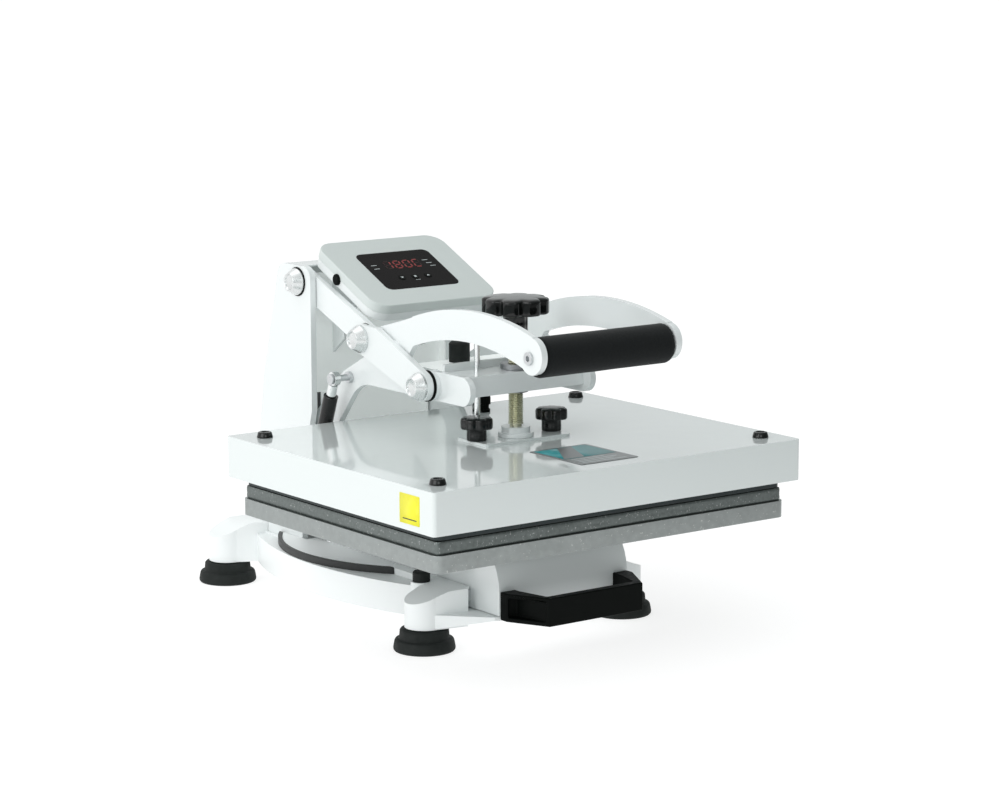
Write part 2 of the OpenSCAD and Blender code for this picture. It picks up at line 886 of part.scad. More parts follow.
// Bow handle: a deep bar with hollow angled legs that bolt to the drawer's front
module pull_leg() {
    difference() {
        translate([0, 0, pull_z]) linear_extrude(pull_h)
            polygon([[-54, pull_y], [-54, pull_y + 12], [-62, pull_y + 12],
                [-71, drawer_front_y - 10], [-71, drawer_front_y - eps],
                [-92, drawer_front_y - eps], [-92, drawer_front_y - 12], [-67, pull_y]]);
        // recess in the outer side of each leg
        translate([0, 0, pull_z + 5]) linear_extrude(pull_h - 10)
            polygon([[-70, pull_y - 2], [-68, pull_y + 8], [-77, drawer_front_y - 12],
                [-87, drawer_front_y - 9], [-110, pull_y + 20], [-90, pull_y - 5]]);
    }
}

module drawer_pull() {
    color("black") at_home() {
        block(-55, 55, pull_y, pull_y + 12, pull_z, pull_z + pull_h);
        both_sides() pull_leg();
    }
}

base_shell();
deck_edge_trims();
base_floor();
rubber_feet();
foot_bolts();
corner_bumpers();
column_plates();
column_front_panel();
column_back_cover();
pivot_shaft();
link_pins();
gas_anchors();
power_entry();
relay_block();
drawer_rails();
box_bracket();
box_front_shell();
box_back_shell();
display_window();
circuit_board();
box_side_plugs();
box_button(-1);  // button_minus
box_button(0);  // button_set
box_button(1);  // button_plus
switch_rocker();
arm_plates();
crossbar();
arm_top_plate();
arm_bumper();
spindle_nut();
arm_bushes();
gas_studs();
links();
lever_plates();
handle_arms();
lever_caps();
lever_washers();
grip_bar();
grip_foam();
grip_bolts();
gas_cylinders();
gas_rods();
cover_shell();
cover_screws();
heating_plate();
insulation();
bracket_plate();
screw_boss();
guide_rod();
name_plate();
spindle();
pressure_knob();
clamp_knob(-1);  // star_knob_left
clamp_knob(1);  // star_knob_right
table();
silicone_pad();
drawer_body();
drawer_runners();
drawer_pull();
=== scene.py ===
"""Looks for the heat press: materials for the CAD parts, and detailed pieces where a plain
solid isn't enough."""

import math

import bmesh
import bpy
from mathutils import Matrix, Vector, noise


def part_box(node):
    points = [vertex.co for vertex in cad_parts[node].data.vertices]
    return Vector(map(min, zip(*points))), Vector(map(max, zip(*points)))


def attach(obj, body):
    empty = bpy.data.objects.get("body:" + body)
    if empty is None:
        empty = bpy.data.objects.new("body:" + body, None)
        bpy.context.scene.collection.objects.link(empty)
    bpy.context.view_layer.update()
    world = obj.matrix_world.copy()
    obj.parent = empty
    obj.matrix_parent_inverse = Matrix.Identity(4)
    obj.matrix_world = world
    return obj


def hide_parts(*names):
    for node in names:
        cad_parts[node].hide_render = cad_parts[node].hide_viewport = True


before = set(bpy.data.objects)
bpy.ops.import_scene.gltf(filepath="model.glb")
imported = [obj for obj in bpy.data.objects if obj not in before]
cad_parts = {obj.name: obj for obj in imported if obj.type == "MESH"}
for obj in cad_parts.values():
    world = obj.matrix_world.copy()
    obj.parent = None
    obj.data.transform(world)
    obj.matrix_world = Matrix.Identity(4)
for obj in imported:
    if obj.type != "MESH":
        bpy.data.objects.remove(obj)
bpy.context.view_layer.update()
MM = 0.001

# ---------------------------------------------------------------- places taken from the frame


def centre(node):
    low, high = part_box(node)
    return (low + high) / 2


def corner_places(node, radius):
    """Centres of four round parts of one node, which stand in the corners of its box."""
    low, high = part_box(node)
    return [(x, y) for x in (low.x + radius, high.x - radius)
            for y in (low.y + radius, high.y - radius)]


COVER_LOW, COVER_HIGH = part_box("cover_shell")
PAD_LOW, PAD_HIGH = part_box("silicone_pad")
SPINDLE_LOW, SPINDLE_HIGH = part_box("spindle")
GRIP_LOW, GRIP_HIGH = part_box("grip_foam")
HOME_Y = COVER_LOW.y / 2 + COVER_HIGH.y / 2  # the middle of the head, front to back
BOX_TILT = math.radians(24.6)

# ---------------------------------------------------------------- camera, lights and floor

CAMERA_PLACE = Vector((-2.012, -2.714 + HOME_Y, 0.8526))
CAMERA_YAW = math.radians(-36.31)
CAMERA_DOWN = math.radians(9.70)
CAMERA_ROLL = math.radians(0.19)
CAMERA_LENS = 105.4
SENSOR_WIDTH = 36
CAMERA_SHIFT_Y = -0.002

# The room is bright in this direction. Each tone is a place, from 0 on the side away from it
# to 1, and a colour.
BRIGHT_SIDE = Vector((-0.60, 0.64, 0.48)).normalized()
ROOM_DARK = (0.15, (0.17, 0.19, 0.185, 1))
ROOM_MIDDLE = (0.50, (0.54, 0.58, 0.58, 1))
ROOM_BRIGHT = (0.85, (1.0, 1.0, 1.0, 1))

# name, place, the point it faces, width and height, watts, colour
LAMPS = (
    ("key_left", (-2.8, -0.6, 1.4), (0, 0, 0.2), (2.0, 1.6), 20, (0.98, 1, 1)),
    ("fill_front", (-1.2, -2.6, 1.3), (0, 0, 0.25), (1.2, 1.0), 7, (0.98, 1, 1)),
    ("top_soft", (-0.3, 0.6, 2.8), (0, 0, 0.2), (2.4, 2.4), 10, (0.97, 1, 1)),
)

# The floor fades toward the front right, between two distances from the origin in metres.
FADE_TOWARD = (0.695, -0.719, 0.0)
FADE_SPAN = (0.68, 1.7)
FLOOR_GLOW = (0.76, 0.14)
FLOOR_WHITE = (0.35, 0.35, 0.35)
FLOOR_GREY = (0.20, 0.20, 0.20)
FLOOR_REACH = 200.0


def add_camera():
    data = bpy.data.cameras.new("camera")
    data.lens = CAMERA_LENS
    data.sensor_width = SENSOR_WIDTH
    data.shift_y = CAMERA_SHIFT_Y
    camera = bpy.data.objects.new("camera", data)
    turn = (Matrix.Rotation(CAMERA_YAW, 4, "Z")
            @ Matrix.Rotation(math.pi / 2 - CAMERA_DOWN, 4, "X"))
    roll = Matrix.Rotation(-CAMERA_ROLL, 4, "Z")
    camera.matrix_world = Matrix.Translation(CAMERA_PLACE) @ turn @ roll
    bpy.context.scene.collection.objects.link(camera)
    bpy.context.scene.camera = camera


def area_light(name, place, target, size, power, colour):
    data = bpy.data.lights.new(name, "AREA")
    data.shape = "RECTANGLE"
    data.size, data.size_y = size
    data.energy = power
    data.color = colour
    lamp = bpy.data.objects.new(name, data)
    aim = (Vector(target) - Vector(place)).to_track_quat("-Z", "Y").to_matrix().to_4x4()
    lamp.matrix_world = Matrix.Translation(place) @ aim
    bpy.context.scene.collection.objects.link(lamp)


def add_studio():
    """A pale room that is darker on the camera's side, three soft lamps and plain colour."""
    world = bpy.data.worlds.new("studio")
    world.use_nodes = True
    tree = world.node_tree
    background = tree.nodes["Background"]
    background.inputs["Strength"].default_value = 1.0
    coords = tree.nodes.new("ShaderNodeTexCoord").outputs["Generated"]
    toward = vector_math(tree, "DOT_PRODUCT", coords, BRIGHT_SIDE).outputs["Value"]
    ramp = tree.nodes.new("ShaderNodeValToRGB")
    tones = ramp.color_ramp.elements
    tones[0].position, tones[0].color = ROOM_DARK
    tones[1].position, tones[1].color = ROOM_BRIGHT
    tones.new(ROOM_MIDDLE[0]).color = ROOM_MIDDLE[1]
    tree.links.new(map_range(tree, toward, (-1, 1)), ramp.inputs["Fac"])
    tree.links.new(ramp.outputs["Color"], background.inputs["Color"])
    bpy.context.scene.world = world
    for lamp in LAMPS:
        area_light(*lamp)
    view = bpy.context.scene.view_settings
    view.view_transform = "Standard"
    view.look = "None"


def floor_paper():
    """White paper, lit from below, that fades to grey in front of the object, on its right."""
    paper = surface("floor_paper", FLOOR_WHITE, 0.9, specular=0.1, glow=((1.0, 1.0, 1.0), 1.0))
    tree = paper.node_tree
    shader = tree.nodes["Principled BSDF"]
    coords = tree.nodes.new("ShaderNodeTexCoord").outputs["Object"]
    across = vector_math(tree, "DOT_PRODUCT", coords, FADE_TOWARD).outputs["Value"]
    colour = mix_colours(tree, map_range(tree, across, FADE_SPAN), opaque(FLOOR_WHITE),
                         opaque(FLOOR_GREY))
    tree.links.new(colour.outputs["Result"], shader.inputs["Base Color"])
    glow = map_range(tree, across, FADE_SPAN, FLOOR_GLOW)
    tree.links.new(glow, shader.inputs["Emission Strength"])
    return paper


def add_floor():
    data = bpy.data.meshes.new("floor")
    corners = [(x * FLOOR_REACH, y * FLOOR_REACH, 0)
               for x, y in ((-1, -1), (1, -1), (1, 1), (-1, 1))]
    data.from_pydata(corners, [], [(0, 1, 2, 3)])
    floor = bpy.data.objects.new("floor", data)
    bpy.context.scene.collection.objects.link(floor)
    data.materials.append(floor_paper())


# ---------------------------------------------------------------- shader nodes


def opaque(colour):
    return tuple(colour) + (1,)


def tint(colour, factor):
    return opaque(min(1.0, c * factor) for c in colour)


def vector_math(tree, operation, vector, constant=None):
    node = tree.nodes.new("ShaderNodeVectorMath")
    node.operation = operation
    tree.links.new(vector, node.inputs[0])
    if constant is not None:
        node.inputs[1].default_value = constant
    return node


def map_range(tree, value, from_span, to_span=(0.0, 1.0)):
    node = tree.nodes.new("ShaderNodeMapRange")
    names = ("From Min", "From Max", "To Min", "To Max")
    for name, number in zip(names, from_span + to_span):
        node.inputs[name].default_value = number
    tree.links.new(value, node.inputs["Value"])
    return node.outputs["Result"]


def mix_colours(tree, factor, first, second):
    node = tree.nodes.new("ShaderNodeMix")
    node.data_type = "RGBA"
    node.inputs["A"].default_value = first
    node.inputs["B"].default_value = second
    tree.links.new(factor, node.inputs["Factor"])
    return node


def noise_value(tree, coords, scale, detail, stretch=(1, 1, 1)):
    """A noise texture in the object's own space, stretched along its axes."""
    texture = tree.nodes.new("ShaderNodeTexNoise")
    texture.inputs["Scale"].default_value = scale
    texture.inputs["Detail"].default_value = detail
    if stretch != (1, 1, 1):
        mapping = tree.nodes.new("ShaderNodeMapping")
        mapping.inputs["Scale"].default_value = stretch
        tree.links.new(coords, mapping.inputs["Vector"])
        coords = mapping.outputs["Vector"]
    tree.links.new(coords, texture.inputs["Vector"])
    return texture.outputs["Fac"]


# ---------------------------------------------------------------- materials

COAT_ROUGHNESS = 0.04
SPECKLE_EDGE = 0.05
COLOUR_DETAIL = 4.0
SPECKLE_DETAIL = 1.0
NOISE_SPAN = (0.3, 0.7)  # the values between which nearly all of a noise texture lies


def surface(name, colour, rough, metal=0.0, coat=0.0, mottle=None, rough_span=None, bumps=(),
            specular=0.5, sheen=0.0, speckle=None, stretch=(1, 1, 1), glow=None):
    """A Principled material.

    mottle      (strength, scale) of a slow colour variation
    rough_span  (lowest, highest, scale) of roughness variation
    bumps       list of (scale, height in metres, detail) noise reliefs
    speckle     (colour, scale, threshold) of small flecks
    stretch     how the noise is scaled along X, Y and Z, but not the flecks
    glow        (colour, strength) of the light that it gives off
    """
    material = bpy.data.materials.new(name)
    material.use_nodes = True
    tree = material.node_tree
    shader = tree.nodes["Principled BSDF"]
    shader.inputs["Base Color"].default_value = opaque(colour)
    shader.inputs["Roughness"].default_value = rough
    shader.inputs["Metallic"].default_value = metal
    shader.inputs["Specular IOR Level"].default_value = specular
    if coat:
        shader.inputs["Coat Weight"].default_value = coat
        shader.inputs["Coat Roughness"].default_value = COAT_ROUGHNESS
    if sheen:
        shader.inputs["Sheen Weight"].default_value = sheen
    if glow:
        shader.inputs["Emission Color"].default_value = opaque(glow[0])
        shader.inputs["Emission Strength"].default_value = glow[1]
    coords = tree.nodes.new("ShaderNodeTexCoord").outputs["Object"]
    last_colour = None
    if mottle:
        strength, scale = mottle
        value = noise_value(tree, coords, scale, COLOUR_DETAIL, stretch)
        mix = mix_colours(tree, value, tint(colour, 1 - strength), tint(colour, 1 + strength))
        last_colour = mix.outputs["Result"]
    if speckle:
        fleck, scale, threshold = speckle
        ramp = tree.nodes.new("ShaderNodeValToRGB")
        ramp.color_ramp.elements[0].position = threshold
        ramp.color_ramp.elements[1].position = min(1.0, threshold + SPECKLE_EDGE)
        tree.links.new(noise_value(tree, coords, scale, SPECKLE_DETAIL), ramp.inputs["Fac"])
        mix = mix_colours(tree, ramp.outputs["Color"], opaque(colour), opaque(fleck))
        if last_colour:
            tree.links.new(last_colour, mix.inputs["A"])
        last_colour = mix.outputs["Result"]
    if last_colour:
        tree.links.new(last_colour, shader.inputs["Base Color"])
    if rough_span:
        value = noise_value(tree, coords, rough_span[2], COLOUR_DETAIL, stretch)
        spread = map_range(tree, value, NOISE_SPAN, rough_span[:2])
        tree.links.new(spread, shader.inputs["Roughness"])
    normal = None
    for scale, height, detail in bumps:
        bump = tree.nodes.new("ShaderNodeBump")
        bump.inputs["Distance"].default_value = height
        bump.inputs["Strength"].default_value = 1.0
        tree.links.new(noise_value(tree, coords, scale, detail, stretch), bump.inputs["Height"])
        if normal:
            tree.links.new(normal, bump.inputs["Normal"])
        normal = bump.outputs["Normal"]
    if normal:
        tree.links.new(normal, shader.inputs["Normal"])
    return material


def turned_metal(name, colour, rough):
    """Metal with fine concentric tool marks about the object's own Z axis."""
    mark_pitch, mark_depth = 0.00045, 0.0000002
    material = surface(name, colour, rough, metal=1.0,
                       rough_span=(rough * 0.8, rough * 1.3, 300))
    tree = material.node_tree
    coords = tree.nodes.new("ShaderNodeTexCoord").outputs["Object"]
    flat = vector_math(tree, "MULTIPLY", coords, (1, 1, 0)).outputs["Vector"]
    radius = vector_math(tree, "LENGTH", flat).outputs["Value"]
    count = tree.nodes.new("ShaderNodeMath")
    count.operation = "MULTIPLY"
    count.inputs[1].default_value = 2 * math.pi / mark_pitch
    tree.links.new(radius, count.inputs[0])
    wave = tree.nodes.new("ShaderNodeMath")
    wave.operation = "SINE"
    tree.links.new(count.outputs["Value"], wave.inputs[0])
    bump = tree.nodes.new("ShaderNodeBump")
    bump.inputs["Distance"].default_value = mark_depth
    tree.links.new(wave.outputs["Value"], bump.inputs["Height"])
    tree.links.new(bump.outputs["Normal"], tree.nodes["Principled BSDF"].inputs["Normal"])
    return material


# material name, colour, roughness and the rest of what surface() takes
FINISHES = {
    "paint": ("white_powder_coat", (0.80, 0.835, 0.835), 0.22, dict(
        coat=0.6, mottle=(0.015, 9), rough_span=(0.16, 0.26, 60), bumps=[(900, 0.00002, 2)])),
    # Painted light: the base's white is lighter than the other white paint, for the brighter light
    # that falls on the base.
    "base_paint_painted_light": ("base_powder_coat_painted_light", (0.88, 0.91, 0.91), 0.42, dict(
        mottle=(0.012, 9), specular=0.4, bumps=[(1400, 0.000006, 2)])),
    # Painted shade: the cover's white is darker than the other white paint, on the cover and its
    # bracket plate. The gloss is the real finish.
    "gloss_paint_painted_shade": ("white_gloss_enamel_painted_shade", (0.735, 0.78, 0.775), 0.12, dict(
        coat=0.8, mottle=(0.012, 7), rough_span=(0.06, 0.14, 40), bumps=[(260, 0.000018, 2)])),
    # Painted light: this coat is lighter than the other white paint and glows a little, to light
    # the column's front panel and the arm's top plate, which lie in shade.
    "panel_paint_painted_light": ("grey_white_coat_painted_light", (0.88, 0.91, 0.90), 0.35, dict(
        mottle=(0.02, 12), bumps=[(1100, 0.00003, 2)], glow=((0.95, 1.0, 0.98), 0.2))),
    "box_plastic": ("box_satin_plastic", (0.62, 0.67, 0.655), 0.38, dict(
        mottle=(0.01, 20), bumps=[(1500, 0.00002, 2)])),
    "back_plastic": ("box_white_plastic", (0.78, 0.81, 0.81), 0.4, dict(
        mottle=(0.01, 20), bumps=[(1400, 0.00003, 2)])),
    "screen": ("screen_black", (0.007, 0.006, 0.006), 0.24, dict(
        mottle=(0.3, 90), specular=0.045, rough_span=(0.2, 0.3, 70))),
    "knob": ("knob_black", (0.0045, 0.0052, 0.005), 0.1, dict(
        mottle=(0.25, 60), specular=0.42, rough_span=(0.07, 0.15, 120),
        bumps=[(700, 0.000006, 2)])),
    "satin_black": ("satin_black_nylon", (0.0045, 0.0055, 0.005), 0.42, dict(
        mottle=(0.2, 70), specular=0.04, rough_span=(0.34, 0.5, 200),
        bumps=[(2400, 0.00003, 3)])),
    "rubber": ("black_rubber", (0.014, 0.017, 0.016), 0.62, dict(
        mottle=(0.3, 55), specular=0.2, rough_span=(0.55, 0.8, 90),
        bumps=[(1800, 0.00005, 3), (120, 0.00012, 2)])),
    "trim": ("edge_trim_black", (0.020, 0.022, 0.022), 0.5, dict(
        mottle=(0.3, 60), bumps=[(1500, 0.00004, 2)])),
    "foam": ("grip_foam_black", (0.0065, 0.008, 0.0085), 0.8, dict(
        mottle=(0.45, 400), sheen=0.12, specular=0.1,
        bumps=[(1600, 0.00018, 4), (320, 0.00016, 2)])),
    "pad": ("silicone_grey", (0.155, 0.175, 0.17), 0.36, dict(
        metal=0.8, specular=0.3, mottle=(0.30, 240), speckle=((0.40, 0.42, 0.41), 420, 0.68),
        bumps=[(500, 0.00010, 4), (120, 0.0002, 3)])),
    "cast": ("table_cast_aluminium", (0.34, 0.365, 0.36), 0.33, dict(
        metal=1.0, mottle=(0.14, 150), rough_span=(0.3, 0.42, 80),
        bumps=[(380, 0.00008, 4), (60, 0.0001, 2)], speckle=((0.56, 0.58, 0.56), 380, 0.70))),
    "plate": ("platen_black", (0.045, 0.055, 0.056), 0.34, dict(
        metal=0.7, mottle=(0.25, 40), specular=0.2, rough_span=(0.26, 0.42, 90),
        bumps=[(600, 0.00004, 3)])),
    "board": ("insulation_board", (0.62, 0.57, 0.46), 0.95, dict(
        mottle=(0.12, 120), bumps=[(900, 0.0002, 4)])),
    "steel": ("ground_steel", (0.60, 0.60, 0.61), 0.28, dict(
        metal=1.0, mottle=(0.06, 50), rough_span=(0.2, 0.36, 160), stretch=(0.15, 1, 1),
        bumps=[(900, 0.00001, 2)])),
    "zinc": ("bright_zinc", (0.62, 0.64, 0.65), 0.34, dict(
        metal=1.0, mottle=(0.12, 90), rough_span=(0.25, 0.45, 140), bumps=[(500, 0.00002, 3)])),
    "dark_zinc": ("dark_zinc", (0.30, 0.31, 0.32), 0.38, dict(
        metal=1.0, mottle=(0.15, 120), rough_span=(0.3, 0.5, 200), bumps=[(900, 0.00002, 2)])),
    "yellow_zinc": ("yellow_zinc", (0.66, 0.65, 0.50), 0.3, dict(
        metal=1.0, mottle=(0.10, 60), rough_span=(0.24, 0.36, 90))),
    "chrome": ("polished_rod", (0.84, 0.86, 0.86), 0.2, dict(
        metal=1.0, mottle=(0.03, 80), rough_span=(0.14, 0.28, 200))),
    "bronze": ("sintered_bronze", (0.50, 0.33, 0.14), 0.4, dict(
        metal=1.0, mottle=(0.15, 300), bumps=[(2500, 0.00003, 2)])),
    "board_green": ("circuit_green", (0.01, 0.10, 0.04), 0.35, dict(mottle=(0.3, 250))),
    "grey_plastic": ("moulded_grey", (0.12, 0.12, 0.125), 0.5, dict(
        mottle=(0.1, 90), bumps=[(1800, 0.00003, 2)])),
    "rocker_red": ("rocker_red", (0.42, 0.012, 0.01), 0.2, dict(coat=0.3, mottle=(0.1, 90))),
    "yellow": ("plain_yellow_film", (0.86, 0.82, 0.03), 0.4, dict(mottle=(0.03, 200))),
    "teal": ("printed_teal", (0.03, 0.26, 0.28), 0.3, dict(mottle=(0.2, 60))),
    "plate_grey": ("name_plate_grey", (0.22, 0.23, 0.235), 0.32, dict(
        metal=0.5, mottle=(0.12, 120), stretch=(1, 0.1, 1))),
    "ink_pale": ("pale_ink", (0.55, 0.60, 0.60), 0.5, dict(mottle=(0.05, 200))),
    "ink_dark": ("dark_ink", (0.03, 0.032, 0.032), 0.5, dict(mottle=(0.2, 200))),
    "digit": ("digit_red", (0.13, 0.002, 0.002), 0.4, dict(glow=((0.13, 0.002, 0.002), 0.6))),
    "digit_off": ("digit_unlit", (0.022, 0.006, 0.006), 0.3, dict(
        mottle=(0.1, 200), specular=0.1)),
}


def make_materials():
    m = {key: surface(name, colour, rough, **rest)
         for key, (name, colour, rough, rest) in FINISHES.items()}
    m["cap"] = turned_metal("turned_aluminium", (0.74, 0.76, 0.76), 0.27)
    return m


# ---------------------------------------------------------------- CAD parts: paint, soft edges

# node: finish, and the width of its rounded edges in millimetres
PAINTED = {
    # base_shell and base_floor: the lighter white, painted light.
    "base_shell": ("base_paint_painted_light", 2.2), "base_floor": ("base_paint_painted_light", 0.8),
    # column_front_panel here and arm_top_plate below: the lighter, glowing coat, painted light.
    "column_plates": ("paint", 1.4), "column_front_panel": ("panel_paint_painted_light", 0.6),
    "column_back_cover": ("paint", 0.8), "box_bracket": ("paint", 0.8),
    "arm_plates": ("paint", 1.2), "crossbar": ("paint", 1.0),
    "arm_top_plate": ("panel_paint_painted_light", 0.8), "links": ("paint", 1.2),
    "lever_plates": ("paint", 1.2), "handle_arms": ("paint", 1.2),
    # cover_shell and bracket_plate: the darker white, painted shade.
    "cover_shell": ("gloss_paint_painted_shade", 2.6), "bracket_plate": ("gloss_paint_painted_shade", 0.7),
    "screw_boss": ("paint", 0.8), "drawer_body": ("paint", 1.2),
    "box_back_shell": ("back_plastic", 1.2), "deck_edge_trims": ("trim", 0.7),
    "corner_bumpers": ("rubber", 0.8), "arm_bumper": ("rubber", 0.8),
    "foot_bolts": ("zinc", 0.5), "pivot_shaft": ("steel", 1.0), "gas_anchors": ("zinc", 0.5),
    "power_entry": ("satin_black", 0.6), "relay_block": ("grey_plastic", 0.8),
    "drawer_rails": ("zinc", 0.4), "display_window": ("screen", 0.3),
    "circuit_board": ("board_green", 0.2), "box_side_plugs": ("satin_black", 0.4),
    "button_minus": ("satin_black", 0.4), "button_set": ("satin_black", 0.4),
    "button_plus": ("satin_black", 0.4), "switch_rocker": ("rocker_red", 0.8),
    "spindle_nut": ("dark_zinc", 0.6), "arm_bushes": ("bronze", 0.4),
    # lever_washers: thin black rings at the knee and lever pins, partly a real washer and partly
    # painted shade of the gaps beside the caps.
    "gas_studs": ("zinc", 0.5), "lever_washers": ("satin_black", 0.2),
    "grip_bar": ("steel", 0.4), "grip_bolts": ("zinc", 0.5), "gas_cylinders": ("knob", 1.0),
    "gas_rods": ("chrome", 0.6), "heating_plate": ("plate", 1.0), "insulation": ("board", 0.8),
    "guide_rod": ("chrome", 0.6), "table": ("cast", 0.8), "drawer_runners": ("zinc", 0.4),
    "drawer_pull": ("satin_black", 1.4),
}
WELD_DISTANCE = 0.000002
FLAT_ANGLE = math.radians(0.3)
EDGE_ANGLE = math.radians(32)
LARGEST_FACE_ONLY = 100


def shade_flats(part):
    """Gives each corner the normal of its largest face, so that flat faces look flat beside
    rounded edges."""
    flatten = part.modifiers.new("flat_shading", "WEIGHTED_NORMAL")
    flatten.mode = "FACE_AREA"
    flatten.weight = LARGEST_FACE_ONLY
    flatten.keep_sharp = True


def round_edges(part, width, segments=3):
    bevel = part.modifiers.new("round_edges", "BEVEL")
    bevel.width = width * MM
    bevel.segments = segments
    bevel.limit_method = "ANGLE"
    bevel.angle_limit = EDGE_ANGLE
    return bevel


def soften(part, width):
    """Joins the split vertices, drops needless edges in flat faces and rounds sharp edges."""
    for face in part.data.polygons:
        face.use_smooth = True
    weld = part.modifiers.new("weld", "WELD")
    weld.merge_threshold = WELD_DISTANCE
    flat = part.modifiers.new("flat_faces", "DECIMATE")
    flat.decimate_type = "DISSOLVE"
    flat.angle_limit = FLAT_ANGLE
    round_edges(part, width).miter_outer = "MITER_ARC"
    shade_flats(part)


def dress_parts(m):
    for name, (finish, width) in PAINTED.items():
        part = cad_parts[name]
        part.data.materials.clear()
        part.data.materials.append(m[finish])
        soften(part, width)


# ---------------------------------------------------------------- mesh helpers


def link_piece(name, data, material, body, place, smooth=True):
    piece = bpy.data.objects.new(name, data)
    piece.matrix_world = place
    bpy.context.scene.collection.objects.link(piece)
    data.materials.append(material)
    for face in data.polygons:
        face.use_smooth = smooth
    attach(piece, body)
    return piece


def sharp_by_angle(piece, degrees):
    """Keeps crisp shading across edges steeper than the angle."""
    limit = math.radians(degrees)
    mesh = bmesh.new()
    mesh.from_mesh(piece.data)
    for edge in mesh.edges:
        if len(edge.link_faces) == 2 and edge.calc_face_angle(0) > limit:
            edge.smooth = False
    mesh.to_mesh(piece.data)
    mesh.free()


def skin(mesh, rings, closed_ends):
    """Joins rings of equally many points with faces."""
    rows = [[mesh.verts.new(point) for point in ring] for ring in rings]
    count = len(rings[0])
    for low, high in zip(rows, rows[1:]):
        for i in range(count):
            j = (i + 1) % count
            mesh.faces.new((low[i], low[j], high[j], high[i]))
    if closed_ends:
        mesh.faces.new(list(reversed(rows[0])))
        mesh.faces.new(rows[-1])


def skinned_mesh(name, ring_lists, closed_ends=True):
    """One mesh with a skin over each list of rings."""
    mesh = bmesh.new()
    for rings in ring_lists:
        skin(mesh, rings, closed_ends)
    bmesh.ops.recalc_face_normals(mesh, faces=mesh.faces)
    data = bpy.data.meshes.new(name)
    mesh.to_mesh(data)
    mesh.free()
    return data


def ring_at(height, count, radius_at):
    """A ring about Z. The height and radius_at(i), the radius at point i, are in millimetres."""
    ring = []
    for i in range(count):
        angle = 2 * math.pi * i / count
        radius = radius_at(i) * MM
        ring.append((radius * math.cos(angle), radius * math.sin(angle), height * MM))
    return ring


def lathe(name, profile, segments):
    """Turns (radius, height) points, in millimetres, about Z. The radius may not be zero."""
    rings = [ring_at(height, segments, lambda i: radius) for radius, height in profile]
    return skinned_mesh(name, [rings])


def outline_ring(outline, height):
    return [(x * MM, y * MM, height * MM) for x, y in outline]


def flat_plates(name, outlines, low, high):
    """Flat plates: outlines in millimetres, raised from low to high."""
    return skinned_mesh(name, [[outline_ring(outline, z) for z in (low, high)]
                               for outline in outlines])


def rectangle(x, y, width, height):
    left, right, bottom, top = x - width / 2, x + width / 2, y - height / 2, y + height / 2
    return [(left, bottom), (right, bottom), (right, top), (left, top)]


def rounded_outline(width, depth, radius, steps):
    """Corner points of a rounded rectangle about the origin, in millimetres."""
    points = []
    for cx, cy, start in ((1, 1, 0), (-1, 1, 90), (-1, -1, 180), (1, -1, 270)):
        for i in range(steps + 1):
            a = math.radians(start + 90 * i / steps)
            points.append((cx * (width / 2 - radius) + radius * math.cos(a),
                           cy * (depth / 2 - radius) + radius * math.sin(a)))
    return points


def add_print(name, outlines, low, high, material, body, place):
    """A flat film, ink or lit bar on another surface."""
    link_piece(name, flat_plates(name, outlines, low, high), material, body, place,
               smooth=False)


# ---------------------------------------------------------------- pressure screw and knobs

# node, body, lobes, hub diameter and height in millimetres, length of stud under the hub in metres
KNOBS = (
    ("pressure_knob", "pressure_screw", 8, 29, 21, 0),
    ("star_knob_left", "clamp_left", 7, 23.5, 13.3, 0.005),
    ("star_knob_right", "clamp_right", 7, 23.5, 13.3, 0.005),
)
POINTS_PER_LOBE = 24
FLUTE_DEPTH = 0.16  # as a share of the radius


def add_screw(m):
    """The pressure screw with its real thread, cut as a helix between smooth ends."""
    radius, pitch, depth = 9.0, 2.5, 1.35
    foot_radius, neck_radius = 6.95, 5.95
    around, rows_per_turn = 64, 8
    low, high = SPINDLE_LOW.z / MM, SPINDLE_HIGH.z / MM
    plain_low, plain_high = low + 13.5, high - 27.0

    def thread(z, i):
        phase = (z / pitch - i / around) % 1.0
        groove = 1 - abs(2 * phase - 1)
        fade = min(1.0, (z - plain_low) / pitch, (plain_high - z) / pitch)
        return radius - depth * max(0.0, fade) * max(0.0, min(1.0, 1.25 * groove - 0.1))

    rings = [ring_at(z, around, lambda i: foot_radius) for z in (low, low + 6, low + 12.6)]
    steps = int((plain_high - plain_low) / pitch * rows_per_turn)
    for step in range(steps + 1):
        z = plain_low + (plain_high - plain_low) * step / steps
        rings.append(ring_at(z, around, lambda i: thread(z, i)))
    rings += [ring_at(z, around, lambda i: neck_radius)
              for z in (plain_high + 0.5, high - 10, high - 1.0)]
    place = Matrix.Translation((centre("spindle").x, centre("spindle").y, 0))
    piece = link_piece("pressure_screw_thread", skinned_mesh("pressure_screw_thread", [rings]),
                       m["yellow_zinc"], "pressure_screw", place)
    sharp_by_angle(piece, 50)
    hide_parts("spindle")


